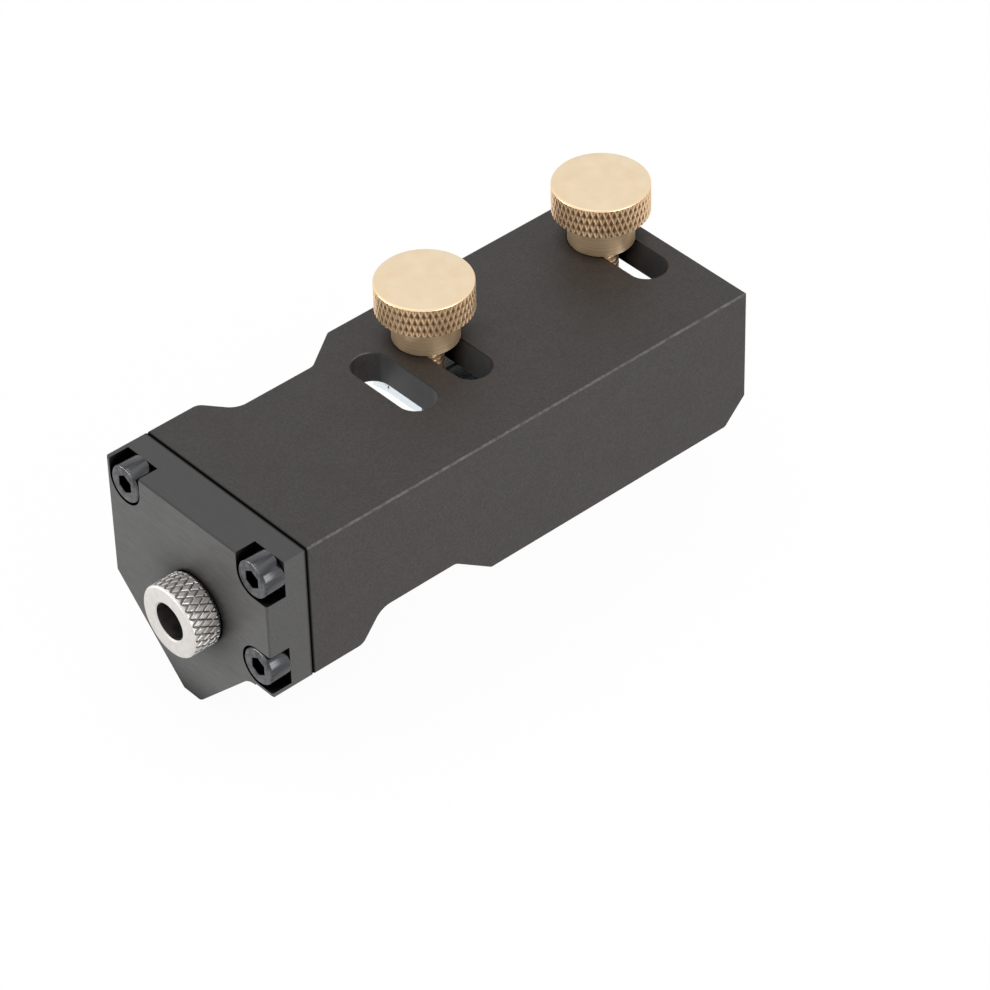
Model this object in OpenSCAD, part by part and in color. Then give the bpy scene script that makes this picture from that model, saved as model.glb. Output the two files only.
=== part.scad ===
// Tapping jig for square slotted bar.
// An angle-shaped body seats on two faces of the bar, an end plate stops against the bar's end,
// and a bushing in the plate guides the tap down the bar's centre hole. A strip that lies in the
// bar's slot is drawn up by two thumb screws, which slide across the body in its cross slots.
// +X is to the side flange, +Y runs back along the bar and +Z is up. The origin is on the bushing's
// axis, at the face of the end plate that the bar stops against.

/* [Work] */
// Side of the square bar that the jig seats on
work_w = 25; // [22:0.5:28]

/* [Body] */
// Width of the top flange
body_w = 40; // [38:0.5:48]
// Height of the side flange
side_h = 26.2; // [24:0.2:32]
// Thickness of both flanges
flange_t = 6; // [5.2:0.2:8]
// Distance from the last cross slot to the body's rear end
tail_l = 7.1; // [6:0.1:20]
// Bevel across the rear free corner of each flange
tail_cut = 4.8; // [2:0.2:7]
// Radius in the inner corner between the flanges
root_r = 0.8; // [0.4:0.1:1.5]
// Broken edge on the body
body_break = 0.3; // [0.1:0.05:0.5]

/* [Reliefs] */
// Distance from the body's front to the relief in each free edge
relief_y = 10.5; // [8:0.5:14]
// Depth of the reliefs
relief_depth = 5.2; // [3:0.2:6]
// Length of the steep front ramp of a relief
relief_lead = 4.2; // [3:0.2:6]
// Length of the floor of a relief
relief_floor = 16; // [10:0.5:20]
// Length of the easy rear ramp of a relief
relief_tail = 7.6; // [5:0.2:10]
// Rounding of the relief corners
relief_r = 2; // [1:0.25:2.5]
// Wider rounding where the front ramp of a relief meets its floor
relief_lead_r = 4; // [2:0.5:6]

/* [Cross slots] */
// Width of a cross slot
slot_w = 7; // [6.6:0.1:7.6]
// Distance from the body's front to the first cross slot
first_slot_y = 37.8; // [34:0.2:40]
// Distance from the first cross slot to the middle one
slot_step = 12; // [10:0.2:14]
// Distance between the two thumb screws
clamp_step = 39.6; // [36:0.2:39.8]
// Reach of a slot's end centre to the left of the bushing's axis
slot_left = 9.8; // [7:0.1:10.4]
// Reach of a slot's end centre to the right of the bushing's axis
slot_right = 1.5; // [0.5:0.1:3]
// Bevel round the mouth of a cross slot
slot_bevel = 0.2; // [0.1:0.05:0.4]

/* [End plate] */
// Thickness of the end plate
plate_t = 8.5; // [7:0.25:12]
// Height of the end plate
plate_h = 40; // [36:0.5:46]
// Slanted cut across the plate's lower left corner
chin_cut = 16; // [10:0.5:18]
// Width of the chin's flat bottom edge
chin_w = 4.2; // [3:0.2:6]
// Hollow rounding where the plate's chin leaves the side flange
chin_hollow_r = 4; // [2:0.25:6]
// Rounding of the chin's corners
chin_r = 3.5; // [1:0.25:5]
// Bevel round the plate's front face
plate_bevel = 0.3; // [0.2:0.05:0.8]
// Broken edge where the plate meets the body
plate_break = 0.2; // [0.1:0.05:0.4]

/* [Cap screws] */
// Diameter of a cap screw's thread
cap_d = 4; // [3:0.5:4]
// Length of a cap screw under its head
cap_l = 12; // [10:1:14]
// Diameter of a cap screw's head
cap_head_d = 7; // [6:0.1:7.4]
// Height of a cap screw's head
cap_head_h = 4; // [3:0.1:4.5]
// Bevel round a cap screw's head
cap_bevel = 0.35; // [0.2:0.05:0.5]
// Width across the flats of a cap screw's socket
cap_socket = 3; // [2:0.5:3.5]
// Depth of a cap screw's socket
cap_socket_depth = 2; // [1:0.1:2.5]
// Distance from a cap screw's centre to the flange's outer face
cap_inset = 3.3; // [3:0.1:3.6]
// Distance from an end cap screw's centre to the flange's free edge
cap_end = 4.6; // [4.2:0.1:6]
// Width of the open pocket round a cap screw's head
pocket_w = 7.6; // [7.5:0.1:8]

/* [Bushing] */
// Bore that guides the tap
bush_bore_d = 6.8; // [4:0.1:7.5]
// Outside of the bushing in the plate
bush_d = 10; // [9:0.1:11]
// Diameter of the bushing's knurled head
bush_head_d = 13.2; // [12:0.1:15]
// Length of the bushing's head
bush_head_l = 5.8; // [4:0.1:10]
// Bevel at the ends of the bushing's head
bush_bevel = 0.5; // [0.2:0.05:0.8]
// Diamonds round the bushing's knurl
bush_knurls = 30; // [20:1:36]
// Length of a diamond of the bushing's knurl
bush_knurl_l = 2.8; // [2:0.1:4]
// Depth of the grooves of the bushing's knurl
bush_knurl_depth = 0.2; // [0.1:0.05:0.3]

/* [Thumb screws] */
// Diameter of a thumb screw's knurled head
thumb_d = 17; // [15:0.5:20]
// Height of a thumb screw's knurled head
thumb_h = 6; // [5:0.1:9]
// Diameter of the collar under the head
collar_d = 11.6; // [10:0.1:14]
// Height of the collar under the head
collar_h = 5.6; // [3:0.1:8]
// Diameter of a thumb screw's thread
thread_d = 6; // [5:0.1:6]
// Length of a thumb screw under its collar
thread_l = 12; // [11:0.5:16]
// Bevel round a thumb screw's tip
tip_bevel = 0.5; // [0.2:0.1:1]
// Bevel round the top of a thumb screw's head
thumb_bevel = 0.4; // [0.2:0.1:1]
// Diamonds round a thumb screw's knurl
thumb_knurls = 52; // [36:1:60]
// Length of a diamond of a thumb screw's knurl
thumb_knurl_l = 2.8; // [2:0.1:4]
// Depth of the pits of a thumb screw's knurl
thumb_knurl_depth = 0.35; // [0.15:0.05:0.4]

/* [Clamp strip] */
// Width of the clamp strip
strip_w = 16.6; // [14:0.2:18]
// Distance from a tapped hole to the strip's end
strip_end = 5; // [4:0.2:6.5]
// Width of the strip's raised middle
ridge_w = 8.3; // [7.6:0.1:10]
// Height of the strip's raised middle above its wings
ridge_h = 1.3; // [0.8:0.1:1.6]
// Thickness of the strip's wings
wing_t = 1.2; // [0.8:0.1:1.4]
// Fall of each wing to its outer edge
wing_fall = 0.6; // [0.2:0.1:1]
// Width and depth of the shallow groove along the strip
groove = 0.4; // [0.2:0.1:0.6]

/* [Fits] */
// Gap round a thread in its hole
thread_gap = 0.05; // [0.03:0.01:0.08]
// Gap round the bushing in the plate
bush_gap = 0.03; // [0.02:0.01:0.08]
// Gap between a thumb screw and the left end of its slot, as it stands
clamp_gap = 0.5; // [0.1:0.05:1]

/* [Hidden] */
$fn = 64;
// How far a cutting shape runs past the face that it cuts
past = 1;
// Flats of an arc in an outline
arc_flats = 8;
// Sides of a cap screw's socket
socket_sides = 6;
// The body's outer faces, equally far from the bushing's axis
side_x = work_w / 2 + flange_t;
top_z = side_x;
left_x = side_x - body_w;
side_bottom_z = top_z - side_h;
plate_bottom_z = top_z - plate_h;
plate_front_y = -plate_t;
// Where the three cap screws stand, as places across and up
cap_places = [
    [left_x + cap_end, top_z - cap_inset],
    [side_x - cap_inset, top_z - cap_inset],
    [side_x - cap_inset, side_bottom_z + cap_end]
];
cap_floor_y = plate_front_y + cap_head_h;
// The tapped holes run deeper than the cap screws' tips
cap_hole_spare = 2;
cap_hole_l = cap_floor_y + cap_l + cap_hole_spare;
// Along the body, the three cross slots, of which the thumb screws take the last two
slot_places = [first_slot_y, first_slot_y + slot_step, first_slot_y + slot_step + clamp_step];
body_l = slot_places[2] + tail_l;
clamp_x = -slot_left - (slot_w - thread_d) / 2 + clamp_gap;
strip_bottom_z = top_z - thread_l;
strip_l = clamp_step + 2 * strip_end;

// The arc of radius r that rounds corner b of an outline, between its neighbours a and c
function corner_arc(a, b, c, r) =
    let (
        u = (a - b) / norm(a - b),
        v = (c - b) / norm(c - b),
        half_angle = acos(u * v) / 2,
        centre = b + (u + v) / norm(u + v) * r / sin(half_angle),
        p = b + u * r / tan(half_angle) - centre,
        q = b + v * r / tan(half_angle) - centre,
        start = atan2(p.y, p.x),
        turn = (atan2(q.y, q.x) - start + 540) % 360 - 180
    )
    [for (i = [0:arc_flats])
        let (angle = start + turn * i / arc_flats)
        centre + r * [cos(angle), sin(angle)]];

// An outline with each corner rounded by its own radius, or left sharp where that is 0
function rounded(corners, radii) =
    let (n = len(corners))
    [for (i = [0:n - 1])
        each radii[i] == 0
            ? [corners[i]]
            : corner_arc(corners[(i + n - 1) % n], corners[i], corners[(i + 1) % n], radii[i])];

// How many steps a place in a knurl's grid is from the nearest line of one of its two sets
function off_line(place, steps) =
    let (m = abs(place) % (2 * steps))
    min(m, 2 * steps - m);

// A head of diameter d and height h along Z, with a diamond knurl and a bevel at each end. Two sets
// of lines cross round it, each diamond has 'count' to the turn and is about 'long', and 'depths'
// holds how deep the knurl is cut at each step from a line to the middle between two lines.
module knurled_head(d, h, count, long, depths, bevels) {
    steps = len(depths) - 1;
    columns = 2 * steps * count;
    knurl_h = h - bevels[0] - bevels[1];
    rows = max(1, round(knurl_h / (long / 2 / steps)));
    rings = concat(
        [[for (i = [1:columns]) [d / 2 - bevels[0], 0]]],
        [for (j = [0:rows])
            [for (i = [1:columns])
                [
                    d / 2 - depths[min(off_line(i + j, steps), off_line(i - j, steps))],
                    bevels[0] + knurl_h * j / rows
                ]]],
        [[for (i = [1:columns]) [d / 2 - bevels[1], h]]]
    );
    last = len(rings) - 1;
    points = [for (ring = rings)
        for (i = [0:columns - 1])
            let (turn = 360 * (i + 1) / columns)
            [ring[i][0] * cos(turn), ring[i][0] * sin(turn), ring[i][1]]];
    // Each cell is split along the line that it lies nearest to
    sides = [for (j = [0:last - 1])
        for (i = [0:columns - 1])
            let (
                a = j * columns + i,
                b = j * columns + (i + 1) % columns,
                c = b + columns,
                d = a + columns
            )
            each off_line(i + 1 - (j - 1), steps) < off_line(i + 1 + j, steps)
                ? [[a, d, c], [a, c, b]]
                : [[a, d, b], [b, d, c]]];
    polyhedron(
        points,
        concat(
            [[for (i = [0:columns - 1]) i]],
            sides,
            [[for (i = [columns - 1:-1:0]) last * columns + i]]
        )
    );
}

// A flange seen square on: distance along the body, then distance from the body's outer corner
function flange_outline(width) =
    let (
        lead_end = relief_y + relief_lead,
        floor_end = lead_end + relief_floor,
        relief_end = floor_end + relief_tail,
        floor_width = width - relief_depth
    )
    rounded(
        [
            [0, 0], [body_l, 0], [body_l, width - tail_cut], [body_l - tail_cut, width],
            [relief_end, width], [floor_end, floor_width], [lead_end, floor_width],
            [relief_y, width], [0, width]
        ],
        [0, 0, relief_r / 2, relief_r / 2, relief_r / 2, relief_r, relief_lead_r, relief_r, 0]
    );

// A square bar along one edge, from a to b in the plane across the jig, that bevels the edge
module edge_bevel(a, b, y, size) {
    run = b - a;
    side = size * sqrt(2);
    translate([a.x, y, a.y])
        rotate([0, -atan2(run.y, run.x), 0])
            rotate([45, 0, 0])
                translate([-size, -side / 2, -side / 2])
                    cube([norm(run) + 2 * size, side, side]);
}

// A cross slot with its mouth bevelled at the top
module cross_slot(y) {
    run = slot_left + slot_right;
    // The bevel goes on above the flange by its own depth, and so spreads by twice that on each side
    spread = 2 * slot_bevel;
    translate([-slot_left, y, top_z]) {
        for (x = [0, run]) {
            translate([x, 0, -flange_t - past]) cylinder(d = slot_w, h = flange_t + 2 * past);
            translate([x, 0, -slot_bevel]) cylinder(d1 = slot_w, d2 = slot_w + 2 * spread, h = spread);
        }
        translate([0, -slot_w / 2, -flange_t - past]) cube([run, slot_w, flange_t + 2 * past]);
        rotate([90, 0, 90])
            linear_extrude(run)
                polygon([
                    [-slot_w / 2, -slot_bevel], [slot_w / 2, -slot_bevel],
                    [slot_w / 2 + spread, slot_bevel], [-slot_w / 2 - spread, slot_bevel]
                ]);
    }
}

// The angle that seats on the bar, milled from one piece of black anodised aluminium
module body() {
    section = [
        [left_x, top_z], [side_x, top_z], [side_x, side_bottom_z],
        [side_x - flange_t, side_bottom_z], [side_x - flange_t, top_z - flange_t],
        [left_x, top_z - flange_t]
    ];
    color([0.21, 0.2, 0.2])
    difference() {
        union() {
            translate([side_x, 0, top_z - flange_t])
                rotate([0, 0, 90])
                    linear_extrude(flange_t) polygon(flange_outline(body_w));
            translate([side_x, 0, top_z])
                rotate([0, 90, 0])
                    mirror([0, 0, 1])
                        rotate([0, 0, 90])
                            mirror([0, 1, 0])
                                linear_extrude(flange_t) polygon(flange_outline(side_h));
            translate([side_x - flange_t, 0, top_z - flange_t])
                rotate([-90, 0, 0])
                    linear_extrude(body_l - 2 * body_break)
                        difference() {
                            translate([-root_r, 0]) square(root_r);
                            translate([-root_r, root_r]) circle(root_r);
                        }
        }
        for (y = slot_places) cross_slot(y);
        for (place = cap_places)
            translate([place.x, 0, place.y])
                rotate([-90, 0, 0])
                    translate([0, 0, -past]) cylinder(d = cap_d + 2 * thread_gap, h = cap_hole_l + past);
        // Outer corner, front end and rear end
        translate([side_x, -past, top_z])
            rotate([0, 45, 0])
                translate([-body_break / sqrt(2), 0, -body_break / sqrt(2)])
                    cube([body_break * sqrt(2), body_l + 2 * past, body_break * sqrt(2)]);
        for (i = [0:1]) {
            edge_bevel(section[i], section[i + 1], 0, body_break);
            edge_bevel(section[i], section[i + 1], body_l, body_break);
        }
    }
}

// The end plate, with its chin below the flange, the bushing's bore and three open pockets
module end_plate() {
    corners = [
        [left_x, top_z], [side_x, top_z], [side_x, side_bottom_z], [side_x - flange_t, side_bottom_z],
        [left_x + chin_cut + chin_w, plate_bottom_z], [left_x + chin_cut, plate_bottom_z],
        [left_x, plate_bottom_z + chin_cut]
    ];
    // How far the outline turns at the hollow, and at the chin's corner beyond it
    flank = corners[3] - corners[4];
    flank_turn = atan2(flank.y, flank.x);
    // The chin's corners take no more than the flat edge between them has room for
    chin_round = min(chin_r, 0.45 * chin_w / tan(max(flank_turn, 45) / 2));
    // The front bevel stops where the hollow starts, and leaves out the flank beyond it
    hollow_start = corners[3] + [chin_hollow_r * tan(flank_turn / 2) + plate_bevel, 0];
    front_edges = [
        [corners[0], corners[1]], [corners[1], corners[2]], [corners[2], hollow_start],
        [corners[4], corners[5]], [corners[5], corners[6]], [corners[6], corners[0]]
    ];
    color([0.25, 0.24, 0.24])
    difference() {
        rotate([90, 0, 0])
            linear_extrude(plate_t)
                polygon(rounded(corners, [0, 0, 0, chin_hollow_r, chin_round, chin_round, chin_r]));
        rotate([90, 0, 0])
            translate([0, 0, -past]) cylinder(d = bush_d + 2 * bush_gap, h = plate_t + 2 * past);
        for (place = cap_places)
            translate([place.x, 0, place.y]) {
                rotate([90, 0, 0])
                    translate([0, 0, -past]) cylinder(d = cap_d + 2 * thread_gap, h = plate_t + 2 * past);
                translate([0, cap_floor_y, 0])
                    rotate([90, 0, 0])
                        cylinder(d = pocket_w, h = cap_head_h + past);
            }
        for (i = [0:1])
            translate([cap_places[i].x - pocket_w / 2, plate_front_y - past, cap_places[i].y])
                cube([pocket_w, cap_head_h + past, cap_inset + past]);
        for (i = [1:2])
            translate([cap_places[i].x, plate_front_y - past, cap_places[i].y - pocket_w / 2])
                cube([cap_inset + past, cap_head_h + past, pocket_w]);
        for (edge = front_edges) edge_bevel(edge[0], edge[1], plate_front_y, plate_bevel);
        for (i = [0:1])
            edge_bevel(corners[i], corners[i + 1], 0, plate_break);
    }
}

// A socket head cap screw of black steel that holds the end plate to the body
module cap_screw(i) {
    half_side = 180 / socket_sides;
    color([0.16, 0.16, 0.17])
    translate([cap_places[i].x, cap_floor_y, cap_places[i].y])
        rotate([90, 0, 0])
            difference() {
                union() {
                    cylinder(d = cap_head_d, h = cap_head_h - cap_bevel);
                    translate([0, 0, cap_head_h - cap_bevel])
                        cylinder(d1 = cap_head_d, d2 = cap_head_d - 2 * cap_bevel, h = cap_bevel);
                    translate([0, 0, -cap_l]) cylinder(d = cap_d, h = cap_l);
                }
                translate([0, 0, cap_head_h - cap_socket_depth])
                    rotate([0, 0, half_side])
                        linear_extrude(cap_socket_depth + past)
                            circle(d = cap_socket / cos(half_side), $fn = socket_sides);
            }
}

// The steel bushing that guides the tap, with a knurled head to pull it out by
module drill_bushing() {
    color([0.75, 0.75, 0.74])
    rotate([90, 0, 0])
        difference() {
            union() {
                cylinder(d = bush_d, h = plate_t + past);
                translate([0, 0, plate_t])
                    knurled_head(
                        bush_head_d, bush_head_l, bush_knurls, bush_knurl_l,
                        [bush_knurl_depth, 0, 0], [bush_bevel, bush_bevel]
                    );
            }
            translate([0, 0, -past]) cylinder(d = bush_bore_d, h = plate_t + bush_head_l + 2 * past);
        }
}

// The rolled, zinc-plated strip that lies in the bar's slot, tapped for the two thumb screws
module clamp_strip() {
    wing_x = strip_w / 2;
    ridge_x = ridge_w / 2;
    wing_top = wing_t;
    ridge_top = wing_t + ridge_h;
    half = [
        [groove, ridge_top], [ridge_x, ridge_top], [ridge_x, wing_top - groove],
        [ridge_x + groove, wing_top - groove], [ridge_x + groove, wing_top],
        [wing_x, wing_top - wing_fall], [wing_x, -wing_fall], [ridge_x + groove, 0]
    ];
    n = len(half);
    color([0.8, 0.83, 0.85])
    difference() {
        translate([clamp_x, slot_places[1] - strip_end + strip_l, strip_bottom_z])
            rotate([90, 0, 0])
                linear_extrude(strip_l)
                    polygon(concat(
                        [[0, ridge_top - groove]],
                        half,
                        [for (i = [n - 1:-1:0]) [-half[i].x, half[i].y]]
                    ));
        for (i = [1:2])
            translate([clamp_x, slot_places[i], strip_bottom_z - past])
                cylinder(d = thread_d + 2 * thread_gap, h = ridge_top + 2 * past);
    }
}

// A thumb screw turned in one piece from brass, seated on the body in one of the cross slots
module thumb_screw(y) {
    color([0.84, 0.68, 0.44])
    translate([clamp_x, y, top_z]) {
        rotate_extrude()
            polygon([
                [0, -thread_l], [thread_d / 2 - tip_bevel, -thread_l], [thread_d / 2, -thread_l + tip_bevel],
                [thread_d / 2, 0], [collar_d / 2, 0], [collar_d / 2, collar_h + past], [0, collar_h + past]
            ]);
        translate([0, 0, collar_h])
            knurled_head(
                thumb_d, thumb_h, thumb_knurls, thumb_knurl_l,
                [0, thumb_knurl_depth], [thumb_bevel / 2, thumb_bevel]
            );
    }
}

body();
end_plate();
cap_screw(0);  // cap_screw_left
cap_screw(1);  // cap_screw_corner
cap_screw(2);  // cap_screw_lower
drill_bushing();
clamp_strip();
thumb_screw(slot_places[1]);  // front_thumb_screw
thumb_screw(slot_places[2]);  // rear_thumb_screw
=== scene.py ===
import math
import bpy
from mathutils import Matrix, Vector


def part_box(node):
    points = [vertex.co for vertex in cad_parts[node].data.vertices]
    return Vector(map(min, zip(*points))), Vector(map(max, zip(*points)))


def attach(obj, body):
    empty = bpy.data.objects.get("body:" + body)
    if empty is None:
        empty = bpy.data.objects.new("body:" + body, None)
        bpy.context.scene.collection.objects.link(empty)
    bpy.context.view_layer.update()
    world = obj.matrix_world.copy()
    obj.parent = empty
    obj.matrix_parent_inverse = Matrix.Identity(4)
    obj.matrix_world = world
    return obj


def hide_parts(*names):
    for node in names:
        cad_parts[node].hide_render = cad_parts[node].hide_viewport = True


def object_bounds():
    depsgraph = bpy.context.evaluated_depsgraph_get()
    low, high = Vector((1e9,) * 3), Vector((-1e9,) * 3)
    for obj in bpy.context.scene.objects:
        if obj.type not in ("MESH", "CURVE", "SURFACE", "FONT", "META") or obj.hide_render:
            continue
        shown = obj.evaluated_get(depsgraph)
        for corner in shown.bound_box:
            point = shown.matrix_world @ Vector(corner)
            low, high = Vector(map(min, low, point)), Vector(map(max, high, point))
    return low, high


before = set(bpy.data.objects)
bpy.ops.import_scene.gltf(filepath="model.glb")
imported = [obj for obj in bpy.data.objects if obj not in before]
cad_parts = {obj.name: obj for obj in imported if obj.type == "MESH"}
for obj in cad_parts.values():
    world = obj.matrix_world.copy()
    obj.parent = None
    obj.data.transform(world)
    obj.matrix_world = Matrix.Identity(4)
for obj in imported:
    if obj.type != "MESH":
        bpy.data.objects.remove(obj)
cad_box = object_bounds()

# The body is an angle milled from one piece of aluminium, bead blasted and anodised black.
# It seats on two faces of the bar, and its three slots carry the thumb screws across it.
# Lengths are in metres here and below, and colours are linear red, green and blue.
BODY_BLACK = (0.007, 0.005, 0.004)
BODY_WORN = (0.028, 0.023, 0.021)
BODY_EDGE_HIGHLIGHT = (0.10, 0.097, 0.093)
BODY_FRONT_LIGHT = (0.05, 0.05, 0.052)
BODY_PAINTED_SHADE = (0.002, 0.002, 0.002)
BODY_SHINE = 0.56
BODY_ROUGHNESS = (0.5, 0.62)
BODY_SHADE_REACH = 0.005
BODY_SHADE_RANGE = (0.4, 0.85)
SEAM_START = 0.00015
SEAM_END = 0.0006
BLAST_GRAIN = 0.00034
BLAST_DEPTH = 0.00004
BLAST_STRENGTH = 0.7
BLAST_PATCH = 0.006
BLAST_PATCH_SHARE = 0.35
EDGE_HIGHLIGHT_PATCH = 0.0009
EDGE_HIGHLIGHT_LEAST = 0.2
MIDDLE_OF_NOISE = (0.3, 0.7)
BEVEL_FACING = (0.85, 0.96)


def start_finish(name, **sockets):
    finish = bpy.data.materials.new(name)
    finish.use_nodes = True
    shader = finish.node_tree.nodes["Principled BSDF"]
    for socket, value in sockets.items():
        shader.inputs[socket.replace("_", " ")].default_value = value
    return finish


def add_node(finish, kind, settings=None, **sockets):
    node = finish.node_tree.nodes.new("ShaderNode" + kind)
    for setting, value in (settings or {}).items():
        setattr(node, setting, value)
    for socket, value in sockets.items():
        target = node.inputs[int(socket[1:]) if socket[0] == "_" else socket.replace("_", " ")]
        if isinstance(value, bpy.types.NodeSocket):
            finish.node_tree.links.new(value, target)
        else:
            target.default_value = value
    return node


def join_to_shader(finish, **sockets):
    shader = finish.node_tree.nodes["Principled BSDF"]
    for socket, value in sockets.items():
        finish.node_tree.links.new(value, shader.inputs[socket.replace("_", " ")])


def grain(finish, size, detail=2.0, stretch=(1, 1, 1)):
    # Cloudy noise whose lumps are about the given size in metres
    place = add_node(finish, "TexCoord").outputs["Object"]
    scaled = add_node(finish, "Mapping", Vector=place, Scale=[each / size for each in stretch])
    noise = add_node(finish, "TexNoise", Vector=scaled.outputs["Vector"], Scale=1.0, Detail=detail)
    return noise.outputs["Fac"]


def between(finish, amount, low, high):
    # Spreads the middle of a noise over the whole range from low to high
    least, most = MIDDLE_OF_NOISE
    spread = add_node(
        finish, "MapRange", Value=amount, From_Min=least, From_Max=most, To_Min=low, To_Max=high
    )
    return spread.outputs["Result"]


def blend_colours(finish, amount, first, second):
    # The colour sockets of a Mix node are its inputs 6 and 7 and its output 2
    mix = add_node(finish, "Mix", {"data_type": "RGBA"}, _0=amount)
    for socket, colour in ((mix.inputs[6], first), (mix.inputs[7], second)):
        if isinstance(colour, bpy.types.NodeSocket):
            finish.node_tree.links.new(colour, socket)
        else:
            socket.default_value = (*colour, 1.0)
    return mix.outputs[2]


def facing(finish, x=0.0, y=0.0, z=0.0):
    # 1 on a bevel that faces the given way, falling to 0 on the faces beside it
    way = Vector((x, y, z)).normalized()
    normal = add_node(finish, "NewGeometry").outputs["True Normal"]
    dot = add_node(finish, "VectorMath", {"operation": "DOT_PRODUCT"}, _0=normal, _1=way)
    least, most = BEVEL_FACING
    rise = add_node(finish, "MapRange", Value=dot.outputs["Value"], From_Min=least, From_Max=most)
    return rise.outputs["Result"]


def times(finish, first, second):
    return add_node(finish, "Math", {"operation": "MULTIPLY"}, _0=first, _1=second).outputs["Value"]


def unshaded_share(finish, reach, closed, clear):
    # 1 on open faces, falling to 0 in crevices and beside other parts, for painted shade
    near = add_node(finish, "AmbientOcclusion", Distance=reach).outputs["AO"]
    return add_node(finish, "MapRange", Value=near, From_Min=closed, From_Max=clear).outputs["Result"]


def off_the_seam(finish, sign):
    # 0 on the lips of the seam between body and plate, and 1 further along, the way of the sign, for
    # painted shade
    place = add_node(finish, "TexCoord").outputs["Object"]
    along = add_node(finish, "SeparateXYZ", Vector=place).outputs["Y"]
    away = times(finish, along, sign)
    rise = add_node(finish, "MapRange", Value=away, From_Min=SEAM_START, From_Max=SEAM_END)
    return rise.outputs["Result"]


def roughen(finish, height, depth, strength):
    bump = add_node(finish, "Bump", Height=height, Distance=depth, Strength=strength)
    join_to_shader(finish, Normal=bump.outputs["Normal"])


def dress(node, finish):
    # A CAD solid keeps its shape and only takes its finish
    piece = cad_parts[node]
    piece.data.materials.clear()
    piece.data.materials.append(finish)


blasted_black = start_finish("blasted_black_anodising")
blast_grain = grain(blasted_black, BLAST_GRAIN)
blast_patch = grain(blasted_black, BLAST_PATCH, detail=4.0)
blast_share = between(blasted_black, blast_grain, 0, 1)
patch_share = between(blasted_black, blast_patch, 0, BLAST_PATCH_SHARE)
blast_colour = blend_colours(blasted_black, blast_share, BODY_BLACK, BODY_WORN)
blast_colour = blend_colours(blasted_black, patch_share, blast_colour, BODY_WORN)
# Painted light and shade: a patchy highlight on the long edge, lighter front walls, a dark seam bevel
edge_highlight_patch = grain(blasted_black, EDGE_HIGHLIGHT_PATCH, detail=3.0)
edge_highlight = between(blasted_black, edge_highlight_patch, EDGE_HIGHLIGHT_LEAST, 1)
# Painted highlight on the long edge's bevel, broken into patches
edge_highlight = times(blasted_black, facing(blasted_black, x=1, z=1), edge_highlight)
blast_colour = blend_colours(blasted_black, edge_highlight, blast_colour, BODY_EDGE_HIGHLIGHT)
# Painted light: walls that face the front are lighter
blast_colour = blend_colours(blasted_black, facing(blasted_black, y=-1), blast_colour, BODY_FRONT_LIGHT)
# Painted shade on the seam's bevel that faces forward and up
blast_colour = blend_colours(blasted_black, facing(blasted_black, y=-1, z=1), blast_colour, BODY_PAINTED_SHADE)
# Painted shade: crevices and the lips of the seam go dark and lose their shine
body_unshaded = unshaded_share(blasted_black, BODY_SHADE_REACH, *BODY_SHADE_RANGE)
body_unshaded = times(blasted_black, body_unshaded, off_the_seam(blasted_black, sign=1))
join_to_shader(
    blasted_black,
    Base_Color=blend_colours(blasted_black, body_unshaded, BODY_PAINTED_SHADE, blast_colour),
    Specular_IOR_Level=times(blasted_black, body_unshaded, BODY_SHINE),
    Roughness=between(blasted_black, blast_patch, *BODY_ROUGHNESS),
)
roughen(blasted_black, blast_grain, BLAST_DEPTH, BLAST_STRENGTH)
dress("body", blasted_black)

# The end plate is a milled aluminium plate, anodised black like the body and screwed to its front.
# Its front face was finished with a fine cutter, and its edges are broken by hand.
PLATE_BLACK = (0.019, 0.018, 0.017)
PLATE_WORN = (0.044, 0.042, 0.040)
PLATE_EDGE_HIGHLIGHT = (0.14, 0.135, 0.13)
PLATE_PAINTED_SHADE = (0.002, 0.002, 0.002)
PLATE_TOP_SHADE = (0.008, 0.008, 0.008)
PLATE_TOP_SHADE_SHARE = 0.75
PLATE_SHINE = 0.72
PLATE_ROUGHNESS = (0.34, 0.42)
PLATE_SHADE_REACH = 0.009
PLATE_SHADE_RANGE = (0.45, 0.93)
CUTTER_MARK = 0.0002
CUTTER_STRETCH = (0.08, 1, 1)
CUTTER_DEPTH = 0.00002
CUTTER_STRENGTH = 0.4


def either(finish, first, second):
    return add_node(finish, "Math", {"operation": "MAXIMUM"}, _0=first, _1=second).outputs["Value"]


milled_black = start_finish("milled_black_anodising")
cutter_marks = grain(milled_black, CUTTER_MARK, stretch=CUTTER_STRETCH)
plate_patch = grain(milled_black, BLAST_PATCH, detail=3.0)
# Painted light and shade: a darker top, dark bevels at the front and the seam, a lighter long edge
cutter_share = between(milled_black, cutter_marks, 0, 1)
plate_colour = blend_colours(milled_black, cutter_share, PLATE_BLACK, PLATE_WORN)
# Painted highlight on the long edge's bevel
plate_colour = blend_colours(milled_black, facing(milled_black, x=1, z=1), plate_colour, PLATE_EDGE_HIGHLIGHT)
# Painted shade on the bevels at the front and the seam
plate_bevel_shade = either(milled_black, facing(milled_black, y=-1, z=1), facing(milled_black, y=1, z=1))
plate_colour = blend_colours(milled_black, plate_bevel_shade, plate_colour, PLATE_PAINTED_SHADE)
# Painted shade: the top is darker
plate_top_shade = times(milled_black, facing(milled_black, z=1), PLATE_TOP_SHADE_SHARE)
plate_colour = blend_colours(milled_black, plate_top_shade, plate_colour, PLATE_TOP_SHADE)
plate_seam = either(milled_black, off_the_seam(milled_black, sign=-1), facing(milled_black, y=1))
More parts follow.
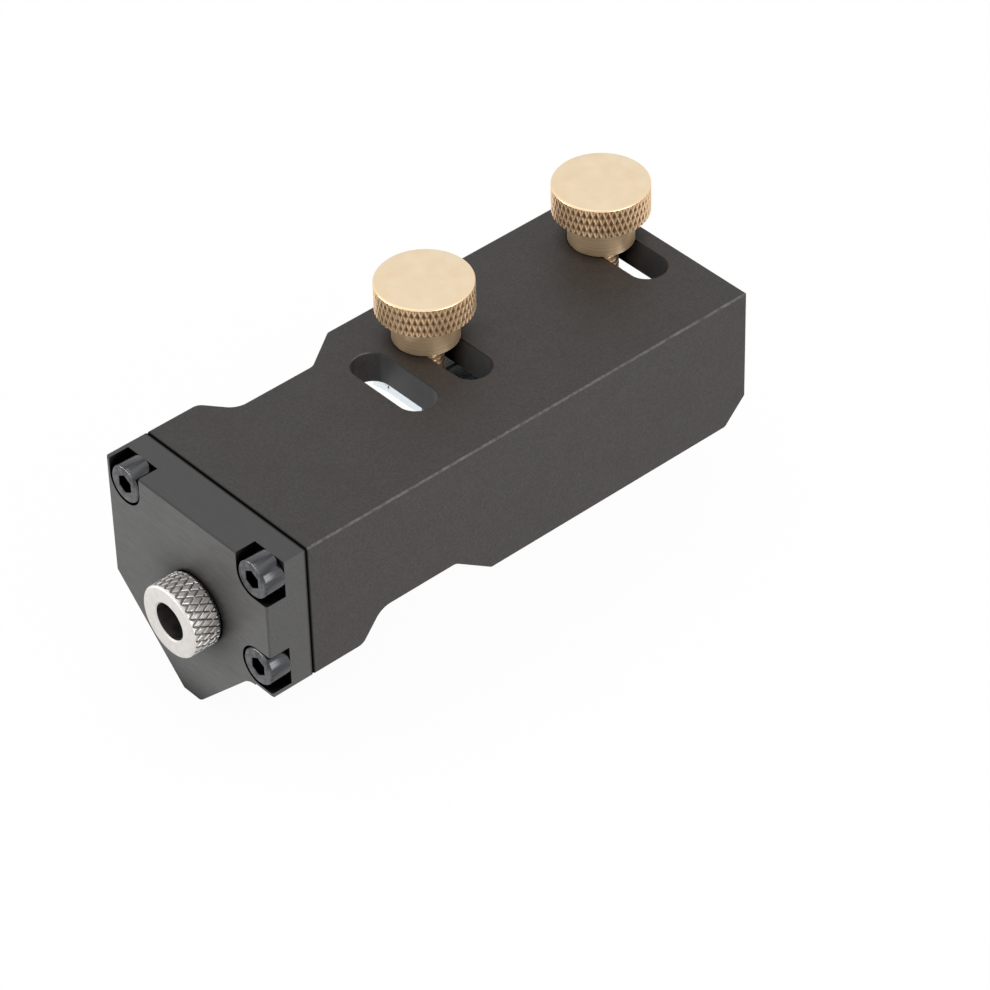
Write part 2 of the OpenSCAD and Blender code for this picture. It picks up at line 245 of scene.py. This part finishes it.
# Painted shade: crevices, the seam's lips and the face round the bushing go dark and lose their shine
plate_unshaded = times(milled_black, unshaded_share(milled_black, PLATE_SHADE_REACH, *PLATE_SHADE_RANGE), plate_seam)
join_to_shader(
    milled_black,
    Base_Color=blend_colours(milled_black, plate_unshaded, PLATE_PAINTED_SHADE, plate_colour),
    Specular_IOR_Level=times(milled_black, plate_unshaded, PLATE_SHINE),
    Roughness=between(milled_black, plate_patch, *PLATE_ROUGHNESS),
)
roughen(milled_black, cutter_marks, CUTTER_DEPTH, CUTTER_STRENGTH)
dress("end_plate", milled_black)

# Three socket head cap screws of black oxide steel hold the plate to the body.
# The heads are turned with a rounded rim, the sockets are pressed and the threads rolled.
OXIDE_DARK = (0.03, 0.031, 0.034)
OXIDE_WORN = (0.14, 0.141, 0.147)
OXIDE_HOLLOW_SHADE = (0.012, 0.012, 0.012)
OXIDE_CLOUD = 0.0009
OXIDE_STREAK = (1, 1, 0.1)
OXIDE_SHARE = (0.1, 0.9)
OXIDE_ROUGHNESS = (0.16, 0.24)
OXIDE_GRAIN = 0.0003
OXIDE_GRAIN_DEPTH = 0.00002
OXIDE_GRAIN_STRENGTH = 0.3
CAP_SIDES = 72
CAP_HEAD_RADIUS = 0.0035
CAP_HEAD_HEIGHT = 0.004
CAP_THREAD_RADIUS = 0.002
CAP_THREAD_PITCH = 0.0007
CAP_THREAD_DEPTH = 0.00038
CAP_THREAD_STEPS = 10
CAP_RIM = 0.0004
CAP_SOCKET_FLATS = 0.003
CAP_SOCKET_DEPTH = 0.002
CAP_SOCKET_MOUTH = 0.0001
CAP_SOCKET_SHADE = 0.85
CAP_CONE_DEPTH = 0.0005
CAP_CONE_RADIUS = 0.00126
CAP_CONE_TIP = 0.00015
CAP_THROAT = 0.0003
THREAD_FLANK = 2.6
THREAD_CREST = 0.25
THREAD_RUNOUT = 0.5
THREAD_SHADE = 0.5
SHARP_EDGE = math.radians(32)


def ring(height, radius, sides, cut=None, dark=0.0):
    # Points round a turned piece at one height; cut says how deep its surface is cut at an angle
    # A point's shade is its share of painted shade, set by the cut or by dark
    points = []
    for i in range(sides):
        angle = 2 * math.pi * i / sides
        depth, shade = cut(angle, height) if cut else (0.0, dark)
        points.append((radius - depth, angle, height, shade))
    return points


def rounded_edge(corner_radius, corner_height, size, sides, start, end, steps):
    # Rings round an edge of the given size, from the angle start to the angle end in degrees
    turns = [math.radians(start + (end - start) * i / steps) for i in range(steps + 1)]
    return [
        ring(corner_height + size * math.sin(turn), corner_radius + size * math.cos(turn), sides)
        for turn in turns
    ]


def thread_cut(depth, pitch, low, high):
    # A right-hand thread between two heights, which runs out over its last half turn at each end
    def cut(angle, height):
        phase = (height / pitch - angle / (2 * math.pi)) % 1.0
        flank = min(1.0, max(0.0, abs(phase - 0.5) * THREAD_FLANK - THREAD_CREST))
        runout = min(1.0, max(0.0, min(height - low, high - height) / (pitch * THREAD_RUNOUT)))
        # The thread's roots also get painted shade
        return depth * flank * runout, THREAD_SHADE * flank * runout
    return cut


def steps_between(low, high, spacing):
    count = max(1, round((high - low) / spacing))
    return [low + (high - low) * i / count for i in range(count + 1)]


def band_faces(lower, upper, shades):
    # Skins the band between two rings of point numbers. One ring may have a whole number of times
    # more points than the other. A square in a cut surface is split where its shades differ least.
    faces = []
    few = min(len(lower), len(upper))
    lower_step = len(lower) // few
    upper_step = len(upper) // few
    for k in range(few):
        below = [lower[(k * lower_step + j) % len(lower)] for j in range(lower_step + 1)]
        above = [upper[(k * upper_step + j) % len(upper)] for j in range(upper_step + 1)]
        if lower_step == upper_step and any(shades[number] for number in below + above):
            rising = abs(shades[below[0]] - shades[above[1]])
            falling = abs(shades[below[1]] - shades[above[0]])
            if rising <= falling:
                faces.append([below[0], below[1], above[1]])
                faces.append([below[0], above[1], above[0]])
            else:
                faces.append([below[0], below[1], above[0]])
                faces.append([below[1], above[1], above[0]])
        else:
            faces.append(below + above[::-1])
    return faces


def turned_piece(name, rings, finish, hollow=False):
    # Skins the rings in order. The ends are closed flat, or joined to each other in a hollow piece.
    points = []
    shades = []
    numbers = []
    for each in rings:
        numbers.append(list(range(len(points), len(points) + len(each))))
        for radius, angle, height, shade in each:
            points.append((radius * math.cos(angle), radius * math.sin(angle), height))
            shades.append(shade)
    faces = [] if hollow else [numbers[0][::-1], numbers[-1]]
    next_rings = numbers[1:] + numbers[:1] if hollow else numbers[1:]
    for lower, upper in zip(numbers, next_rings):
        faces += band_faces(lower, upper, shades)
    mesh = bpy.data.meshes.new(name)
    mesh.from_pydata(points, [], faces)
    # Each point's share of painted shade is kept as the attribute hollow
    mesh.attributes.new("hollow", "FLOAT", "POINT").data.foreach_set("value", shades)
    mesh.shade_smooth()
    mesh.set_sharp_from_angle(angle=SHARP_EDGE)
    mesh.materials.append(finish)
    piece = bpy.data.objects.new(name, mesh)
    bpy.context.scene.collection.objects.link(piece)
    return piece


def hex_cut(flats, radius, dark):
    # Draws a ring of the given radius in to a hexagon that measures flats across
    def cut(angle, height):
        side_turn = (angle + math.pi / 6) % (math.pi / 3) - math.pi / 6
        return radius - flats / 2 / math.cos(side_turn), dark
    return cut


def paint_shade_in_hollows(finish, colour, dark):
    # Painted shade: blends the colour towards a dark one by each point's hollow attribute
    hollow = add_node(finish, "Attribute", {"attribute_name": "hollow"}).outputs["Fac"]
    return blend_colours(finish, hollow, colour, dark)


def cap_screw_piece(name, length, finish):
    # Along its axis, 0 is under the head, and the head stands above
    top = CAP_HEAD_HEIGHT
    floor = top - CAP_SOCKET_DEPTH
    socket_radius = CAP_SOCKET_FLATS / 2 / math.cos(math.pi / 6)
    mouth_flats = CAP_SOCKET_FLATS + 2 * CAP_SOCKET_MOUTH
    cut = thread_cut(CAP_THREAD_DEPTH, CAP_THREAD_PITCH, -length, -CAP_THROAT)
    rings = [ring(-length, CAP_THREAD_RADIUS - CAP_THREAD_DEPTH, CAP_SIDES)]
    spacing = CAP_THREAD_PITCH / CAP_THREAD_STEPS
    for height in steps_between(-length + CAP_THREAD_DEPTH, -CAP_THROAT, spacing):
        rings.append(ring(height, CAP_THREAD_RADIUS, CAP_SIDES, cut))
    rings.append(ring(0, CAP_THREAD_RADIUS, CAP_SIDES))
    foot_rim = CAP_RIM / 2
    foot_corner = (CAP_HEAD_RADIUS - foot_rim, foot_rim)
    rings += rounded_edge(*foot_corner, foot_rim, CAP_SIDES, start=-90, end=0, steps=3)
    top_corner = (CAP_HEAD_RADIUS - CAP_RIM, top - CAP_RIM)
    rings += rounded_edge(*top_corner, CAP_RIM, CAP_SIDES, start=0, end=90, steps=5)
    rings.append(ring(top, socket_radius, CAP_SIDES, hex_cut(mouth_flats, socket_radius, 0.0)))
    # Painted shade in the socket and in the cone at its bottom
    socket = hex_cut(CAP_SOCKET_FLATS, socket_radius, CAP_SOCKET_SHADE)
    rings.append(ring(top - CAP_SOCKET_MOUTH, socket_radius, CAP_SIDES, socket))
    rings.append(ring(floor, socket_radius, CAP_SIDES, socket))
    rings.append(ring(floor, CAP_CONE_RADIUS, CAP_SIDES, dark=1.0))
    rings.append(ring(floor - CAP_CONE_DEPTH, CAP_CONE_TIP, CAP_SIDES, dark=1.0))
    return turned_piece(name, rings, finish)


black_oxide = start_finish("black_oxide_steel", Metallic=1.0)
oxide_cloud = grain(black_oxide, OXIDE_CLOUD, stretch=OXIDE_STREAK)
oxide_share = between(black_oxide, oxide_cloud, *OXIDE_SHARE)
oxide_colour = blend_colours(black_oxide, oxide_share, OXIDE_DARK, OXIDE_WORN)
join_to_shader(
    black_oxide,
    Base_Color=paint_shade_in_hollows(black_oxide, oxide_colour, OXIDE_HOLLOW_SHADE),
    Roughness=between(black_oxide, oxide_cloud, *OXIDE_ROUGHNESS),
)
roughen(black_oxide, grain(black_oxide, OXIDE_GRAIN), OXIDE_GRAIN_DEPTH, OXIDE_GRAIN_STRENGTH)

# Turns a piece that is made standing up, so that its top points forward out of the plate
OUT_OF_PLATE = Matrix.Rotation(math.radians(90), 4, "X")
for screw_node in ("cap_screw_left", "cap_screw_corner", "cap_screw_lower"):
    screw_low, screw_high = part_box(screw_node)
    screw_length = screw_high.y - screw_low.y - CAP_HEAD_HEIGHT
    cap_screw = cap_screw_piece(screw_node + "_steel", screw_length, black_oxide)
    under_head = Vector((screw_low.x + screw_high.x, 0, screw_low.z + screw_high.z)) / 2
    under_head.y = screw_low.y + CAP_HEAD_HEIGHT
    cap_screw.matrix_world = Matrix.Translation(under_head) @ OUT_OF_PLATE
    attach(cap_screw, "body")
    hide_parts(screw_node)

# The bushing that guides the tap is turned and ground from steel, with its head knurled for the fingers.
# It is a slip fit in the plate, so that it pulls out when another size of bore is wanted.
STEEL_BRIGHT = (0.74, 0.71, 0.68)
STEEL_DULL = (0.56, 0.53, 0.50)
STEEL_GROOVE_SHADE = (0.035, 0.03, 0.026)
STEEL_CLOUD = 0.0012
STEEL_CLOUD_SHARE = 0.6
STEEL_ROUGHNESS = (0.36, 0.48)
STEEL_LINE = 0.00025
STEEL_LINE_DEPTH = 0.00001
STEEL_LINE_STRENGTH = 0.5
BUSH_KNURLS = 30
BUSH_KNURL_PITCH = 0.0028
BUSH_KNURL_DEPTH = 0.0002
BUSH_STEPS = 4
BUSH_GROOVE = 0.25
BUSH_SHANK_RADIUS = 0.005
BUSH_SHANK_EDGE = 0.0003
BUSH_BORE_RADIUS = 0.0034
BUSH_RIM = 0.00045
BUSH_BORE_RIM = 0.00025
BUSH_BORE_LIP = 0.0001
BUSH_BORE_SHADE = 0.72


def knurl_cells(angle, height, count, pitch):
    # How far a point is from the nearest line of each of the two crossing sets, as 0 to 1 at mid cell
    along = angle * count / (2 * math.pi)
    across = height / pitch
    return [2 * abs(line - round(line)) for line in (along + across, along - across)]


def grooved_knurl(count, pitch, depth, groove):
    # Flat diamonds between crossing grooves, as a cut knurl has
    def cut(angle, height):
        line = min(knurl_cells(angle, height, count, pitch))
        share = max(0.0, 1 - line / groove)
        # The groove's depth also sets its painted shade
        return depth * share, share
    return cut


def bushing_piece(name, plate_thickness, head_length, head_radius, finish):
    # Along its axis, 0 is the end that the bar meets, and the head stands beyond the plate
    sides = BUSH_KNURLS * 2 * BUSH_STEPS
    front = plate_thickness + head_length
    knurl = grooved_knurl(BUSH_KNURLS, BUSH_KNURL_PITCH, BUSH_KNURL_DEPTH, BUSH_GROOVE)
    rim = BUSH_RIM
    rings = [ring(0, BUSH_SHANK_RADIUS - BUSH_SHANK_EDGE, sides)]
    rings.append(ring(BUSH_SHANK_EDGE, BUSH_SHANK_RADIUS, sides))
    rings.append(ring(plate_thickness, BUSH_SHANK_RADIUS, sides))
    rings.append(ring(plate_thickness, head_radius - rim, sides))
    knurl_spacing = BUSH_KNURL_PITCH / 2 / BUSH_STEPS
    knurl_low = math.ceil((plate_thickness + rim) / knurl_spacing) * knurl_spacing
    for height in steps_between(knurl_low, front - rim, knurl_spacing):
        rings.append(ring(height, head_radius, sides, knurl))
    rings += rounded_edge(head_radius - rim, front - rim, rim, sides, start=20, end=90, steps=4)
    rings.append(ring(front, BUSH_BORE_RADIUS + BUSH_BORE_RIM, sides))
    bore_mouth = front - BUSH_BORE_RIM
    rings.append(ring(bore_mouth, BUSH_BORE_RADIUS, sides))
    # Painted shade darkens the inside of the bore
    for height in (bore_mouth - BUSH_BORE_LIP, front / 2, BUSH_BORE_LIP):
        rings.append(ring(height, BUSH_BORE_RADIUS, sides, dark=BUSH_BORE_SHADE))
    rings.append(ring(0, BUSH_BORE_RADIUS, sides))
    return turned_piece(name, rings, finish, hollow=True)


def turning_lines(finish, spacing):
    # Fine rings left by the lathe tool: noise that changes only with radius and height
    place = add_node(finish, "TexCoord").outputs["Object"]
    parts = add_node(finish, "SeparateXYZ", Vector=place).outputs
    flat = add_node(finish, "CombineXYZ", X=parts["X"], Y=parts["Y"])
    radius = add_node(finish, "VectorMath", {"operation": "LENGTH"}, _0=flat.outputs["Vector"])
    total = add_node(finish, "Math", {"operation": "ADD"}, _0=radius.outputs["Value"], _1=parts["Z"])
    along = {"noise_dimensions": "1D"}
    noise = add_node(finish, "TexNoise", along, W=total.outputs["Value"], Scale=1 / spacing, Detail=3.0)
    return noise.outputs["Fac"]


ground_steel = start_finish("ground_steel", Metallic=1.0)
steel_lines = turning_lines(ground_steel, STEEL_LINE)
steel_cloud = grain(ground_steel, STEEL_CLOUD, detail=3.0)
steel_share = between(ground_steel, steel_cloud, 0, STEEL_CLOUD_SHARE)
steel_colour = blend_colours(ground_steel, steel_share, STEEL_BRIGHT, STEEL_DULL)
join_to_shader(
    ground_steel,
    Base_Color=paint_shade_in_hollows(ground_steel, steel_colour, STEEL_GROOVE_SHADE),
    Roughness=between(ground_steel, steel_cloud, *STEEL_ROUGHNESS),
)
roughen(ground_steel, steel_lines, STEEL_LINE_DEPTH, STEEL_LINE_STRENGTH)

bush_low, bush_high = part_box("drill_bushing")
plate_low, plate_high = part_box("end_plate")
bush_head_radius = (bush_high.x - bush_low.x) / 2
bushing = bushing_piece(
    "knurled_bushing",
    plate_high.y - plate_low.y,
    plate_low.y - bush_low.y,
    bush_head_radius,
    ground_steel,
)
bushing.matrix_world = Matrix.Translation((0, bush_high.y, 0)) @ OUT_OF_PLATE
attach(bushing, "bushing")
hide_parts("drill_bushing")

# The clamp strip is rolled steel with zinc plate, and lies in the slot of the bar below the body.
# Two holes tapped through it take the thumb screws, which draw the bar up against the body.
ZINC_BRIGHT = (0.90, 0.94, 0.97)
ZINC_SHADE = (0.62, 0.68, 0.72)
ROLLING_LINE = 0.0003
ROLLING_STRETCH = (1, 0.02, 1)
ROLLING_SHARE = 0.8
ROLLING_DEPTH = 0.00002
ROLLING_STRENGTH = 0.4
ZINC_BLOOM = 0.004
ZINC_BLOOM_SHARE = 0.3
ZINC_ROUGHNESS = (0.22, 0.36)

zinc_plate = start_finish("rolled_zinc_plate", Metallic=1.0)
rolling_lines = grain(zinc_plate, ROLLING_LINE, detail=3.0, stretch=ROLLING_STRETCH)
zinc_bloom = grain(zinc_plate, ZINC_BLOOM, detail=4.0)
rolling_share = between(zinc_plate, rolling_lines, 0, ROLLING_SHARE)
bloom_share = between(zinc_plate, zinc_bloom, 0, ZINC_BLOOM_SHARE)
zinc_colour = blend_colours(zinc_plate, rolling_share, ZINC_BRIGHT, ZINC_SHADE)
zinc_colour = blend_colours(zinc_plate, bloom_share, zinc_colour, ZINC_SHADE)
join_to_shader(
    zinc_plate,
    Base_Color=zinc_colour,
    Roughness=between(zinc_plate, zinc_bloom, *ZINC_ROUGHNESS),
)
roughen(zinc_plate, rolling_lines, ROLLING_DEPTH, ROLLING_STRENGTH)
dress("clamp_strip", zinc_plate)

# The two thumb screws are turned from brass bar, each in one piece, and knurled round the head.
# They stand through the cross slots, seat on the body by their collars, and turn in the strip.
BRASS_PALE = (0.83, 0.68, 0.49)
BRASS_GLARE = (0.78, 0.62, 0.42)
BRASS_WARM = (0.95, 0.72, 0.47)
BRASS_SHADE = (0.72, 0.49, 0.27)
BRASS_PIT_SHADE = (0.16, 0.06, 0.018)
BRASS_METALLIC = 0.8
BRASS_CLOUD = 0.003
BRASS_ROUGHNESS = (0.3, 0.42)
BRASS_LINE = 0.00018
BRASS_LINE_DEPTH = 0.000012
BRASS_LINE_STRENGTH = 0.5
THUMB_KNURLS = 52
THUMB_KNURL_PITCH = 0.00284
THUMB_KNURL_DEPTH = 0.00033
THUMB_STEPS = 6
THUMB_LAND = 0.12
THUMB_PIT_SHADE_FALL = 0.6
THUMB_SHANK_SIDES = 104
THUMB_HEAD_HEIGHT = 0.006
THUMB_RIM = 0.00035
THUMB_FOOT = 0.0003
THUMB_FACE_SHARE = 0.5
COLLAR_RADIUS = 0.0058
COLLAR_EDGE = 0.00015
THUMB_THREAD_RADIUS = 0.003
THUMB_THREAD_PITCH = 0.001
THUMB_THREAD_DEPTH = 0.00058
THUMB_THREAD_STEPS = 12
THUMB_TIP = 0.0005


def pitted_knurl(count, pitch, depth, land):
    # Diamond pits between crossing ridges, as a pressed knurl has
    def cut(angle, height):
        line = min(knurl_cells(angle, height, count, pitch))
        share = max(0.0, (line - land) / (1 - land))
        # The pit's depth also sets its painted shade, spread wide over the pit
        return depth * share, share ** THUMB_PIT_SHADE_FALL
    return cut


def thumb_screw_piece(name, thread_length, head_top, head_radius, finish):
    # Along its axis, 0 is the collar's seat on the body
    head_foot = head_top - THUMB_HEAD_HEIGHT
    head_sides = THUMB_KNURLS * 2 * THUMB_STEPS
    shank_sides = THUMB_SHANK_SIDES
    knurl = pitted_knurl(THUMB_KNURLS, THUMB_KNURL_PITCH, THUMB_KNURL_DEPTH, THUMB_LAND)
    thread = thread_cut(THUMB_THREAD_DEPTH, THUMB_THREAD_PITCH, -thread_length, 0)
    rings = [ring(-thread_length, THUMB_THREAD_RADIUS - THUMB_TIP, shank_sides)]
    spacing = THUMB_THREAD_PITCH / THUMB_THREAD_STEPS
    for height in steps_between(-thread_length + THUMB_TIP, 0, spacing):
        rings.append(ring(height, THUMB_THREAD_RADIUS, shank_sides, thread))
    edge = COLLAR_EDGE
    rings += rounded_edge(COLLAR_RADIUS - edge, edge, edge, shank_sides, start=-90, end=0, steps=3)
    rings.append(ring(head_foot, COLLAR_RADIUS, shank_sides))
    rings.append(ring(head_foot, head_radius - THUMB_FOOT - THUMB_KNURL_DEPTH, head_sides))
    knurl_spacing = THUMB_KNURL_PITCH / 2 / THUMB_STEPS
    knurl_top = head_top - THUMB_RIM
    rows = int((knurl_top - head_foot - THUMB_FOOT) / knurl_spacing)
    for row in range(rows, -1, -1):
        rings.append(ring(knurl_top - row * knurl_spacing, head_radius, head_sides, knurl))
    top_corner = (head_radius - THUMB_RIM, head_top - THUMB_RIM)
    rings += rounded_edge(*top_corner, THUMB_RIM, head_sides, start=15, end=90, steps=4)
    rings.append(ring(head_top, head_radius * THUMB_FACE_SHARE, head_sides))
    return turned_piece(name, rings, finish)


turned_brass = start_finish("turned_brass", Metallic=BRASS_METALLIC)
brass_lines = turning_lines(turned_brass, BRASS_LINE)
brass_cloud = grain(turned_brass, BRASS_CLOUD, detail=4.0)
# Painted light: the top and the sides of the same brass take separate tones by which way they face
brass_top = blend_colours(turned_brass, between(turned_brass, brass_cloud, 0, 1), BRASS_PALE, BRASS_GLARE)
brass_side = blend_colours(turned_brass, between(turned_brass, brass_lines, 0, 1), BRASS_WARM, BRASS_SHADE)
brass_colour = blend_colours(turned_brass, facing(turned_brass, z=1), brass_side, brass_top)
join_to_shader(
    turned_brass,
    Base_Color=paint_shade_in_hollows(turned_brass, brass_colour, BRASS_PIT_SHADE),
    Roughness=between(turned_brass, brass_cloud, *BRASS_ROUGHNESS),
)
roughen(turned_brass, brass_lines, BRASS_LINE_DEPTH, BRASS_LINE_STRENGTH)

seat_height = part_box("body")[1].z
for screw_node, screw_body in (("front_thumb_screw", "front_screw"), ("rear_thumb_screw", "rear_screw")):
    screw_low, screw_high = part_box(screw_node)
    thumb_screw = thumb_screw_piece(
        screw_node + "_brass",
        seat_height - screw_low.z,
        screw_high.z - seat_height,
        (screw_high.x - screw_low.x) / 2,
        turned_brass,
    )
    axis_place = (screw_low + screw_high) / 2
    axis_place.z = seat_height
    thumb_screw.matrix_world = Matrix.Translation(axis_place)
    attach(thumb_screw, screw_body)
    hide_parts(screw_node)

# The studio: a wide white floor under the jig, three soft lamps in front, at the right and above.
# The floor and the sky show white by themselves, and the floor keeps a faint shadow of the jig.
FLOOR_SIZE = 3.0
SHADOW_SHARE = 0.05
SWEEP_WHITE = (0.9, 0.9, 0.9, 1)
WORLD_LEVEL = 0.9
AIM = Vector((0.00803, 0.04854, -0.00451))
CAMERA_DISTANCE = 0.76436
CAMERA_AZIMUTH = 49.169
CAMERA_ELEVATION = 39.877
CAMERA_ROLL = -1.551
CAMERA_LENS = 166.81
SENSOR = 36.0


def seen_directly(tree):
    # 1 for what the camera sees, by itself or mirrored in metal, and 0 for the light on the jig
    rays = tree.nodes.new("ShaderNodeLightPath")
    total = rays.outputs["Is Camera Ray"]
    for ray in ("Is Glossy Ray", "Is Transmission Ray"):
        add = tree.nodes.new("ShaderNodeMath")
        add.operation = "MAXIMUM"
        tree.links.new(total, add.inputs[0])
        tree.links.new(rays.outputs[ray], add.inputs[1])
        total = add.outputs["Value"]
    return total


def from_side(azimuth, elevation):
    a = math.radians(azimuth)
    e = math.radians(elevation)
    return Vector((math.sin(a) * math.cos(e), -math.cos(a) * math.cos(e), math.sin(e)))


def soft_lamp(name, azimuth, elevation, distance, width, height, power):
    lamp = bpy.data.lights.new(name, "AREA")
    lamp.shape = "RECTANGLE"
    lamp.size = width
    lamp.size_y = height
    lamp.energy = power
    stand = bpy.data.objects.new(name, lamp)
    way = from_side(azimuth, elevation)
    stand.location = AIM + way * distance
    stand.rotation_mode = "QUATERNION"
    stand.rotation_quaternion = (-way).to_track_quat("-Z", "Y")
    bpy.context.scene.collection.objects.link(stand)


world = bpy.data.worlds.new("white_studio")
bpy.context.scene.world = world
world.use_nodes = True
sky = world.node_tree.nodes["Background"]
sky.inputs["Color"].default_value = (1, 1, 1, 1)
sky_level = world.node_tree.nodes.new("ShaderNodeMapRange")
world.node_tree.links.new(seen_directly(world.node_tree), sky_level.inputs["Value"])
sky_level.inputs["To Min"].default_value = WORLD_LEVEL
sky_level.inputs["To Max"].default_value = 1.0
world.node_tree.links.new(sky_level.outputs["Result"], sky.inputs["Strength"])

sweep = start_finish("white_sweep", Base_Color=SWEEP_WHITE, Roughness=1.0, Specular_IOR_Level=0.0)
glow = add_node(sweep, "Emission", Color=(1, 1, 1, 1), Strength=1.0)
sweep_seen = seen_directly(sweep.node_tree)
glow_share = add_node(sweep, "MapRange", Value=sweep_seen, To_Min=0.0, To_Max=1 - SHADOW_SHARE)
glow_mix = add_node(sweep, "MixShader", Fac=glow_share.outputs["Result"])
sweep.node_tree.links.new(sweep.node_tree.nodes["Principled BSDF"].outputs["BSDF"], glow_mix.inputs[1])
sweep.node_tree.links.new(glow.outputs["Emission"], glow_mix.inputs[2])
sweep_output = sweep.node_tree.nodes["Material Output"]
sweep.node_tree.links.new(glow_mix.outputs["Shader"], sweep_output.inputs["Surface"])
floor_mesh = bpy.data.meshes.new("floor")
half = FLOOR_SIZE / 2
floor_corners = [(-half, -half, 0), (half, -half, 0), (half, half, 0), (-half, half, 0)]
floor_mesh.from_pydata(floor_corners, [], [(0, 1, 2, 3)])
floor_mesh.materials.append(sweep)
floor = bpy.data.objects.new("floor", floor_mesh)
floor.location.z = cad_box[0].z
bpy.context.scene.collection.objects.link(floor)

soft_lamp("front_lamp", azimuth=-35, elevation=1, distance=0.8, width=0.5, height=0.04, power=2.5)
soft_lamp("side_lamp", azimuth=95, elevation=14, distance=0.9, width=0.6, height=0.6, power=4)
soft_lamp("top_lamp", azimuth=-60, elevation=70, distance=0.9, width=0.5, height=0.5, power=1)

camera_data = bpy.data.cameras.new("camera")
camera_data.lens = CAMERA_LENS
camera_data.sensor_width = SENSOR
camera = bpy.data.objects.new("camera", camera_data)
camera_way = from_side(CAMERA_AZIMUTH, CAMERA_ELEVATION)
camera_turn = (-camera_way).to_track_quat("-Z", "Y").to_matrix().to_4x4()
camera.matrix_world = (
    Matrix.Translation(AIM + camera_way * CAMERA_DISTANCE)
    @ camera_turn
    @ Matrix.Rotation(math.radians(CAMERA_ROLL), 4, "Z")
)
bpy.context.scene.collection.objects.link(camera)
bpy.context.scene.camera = camera
bpy.context.scene.view_settings.view_transform = "Standard"
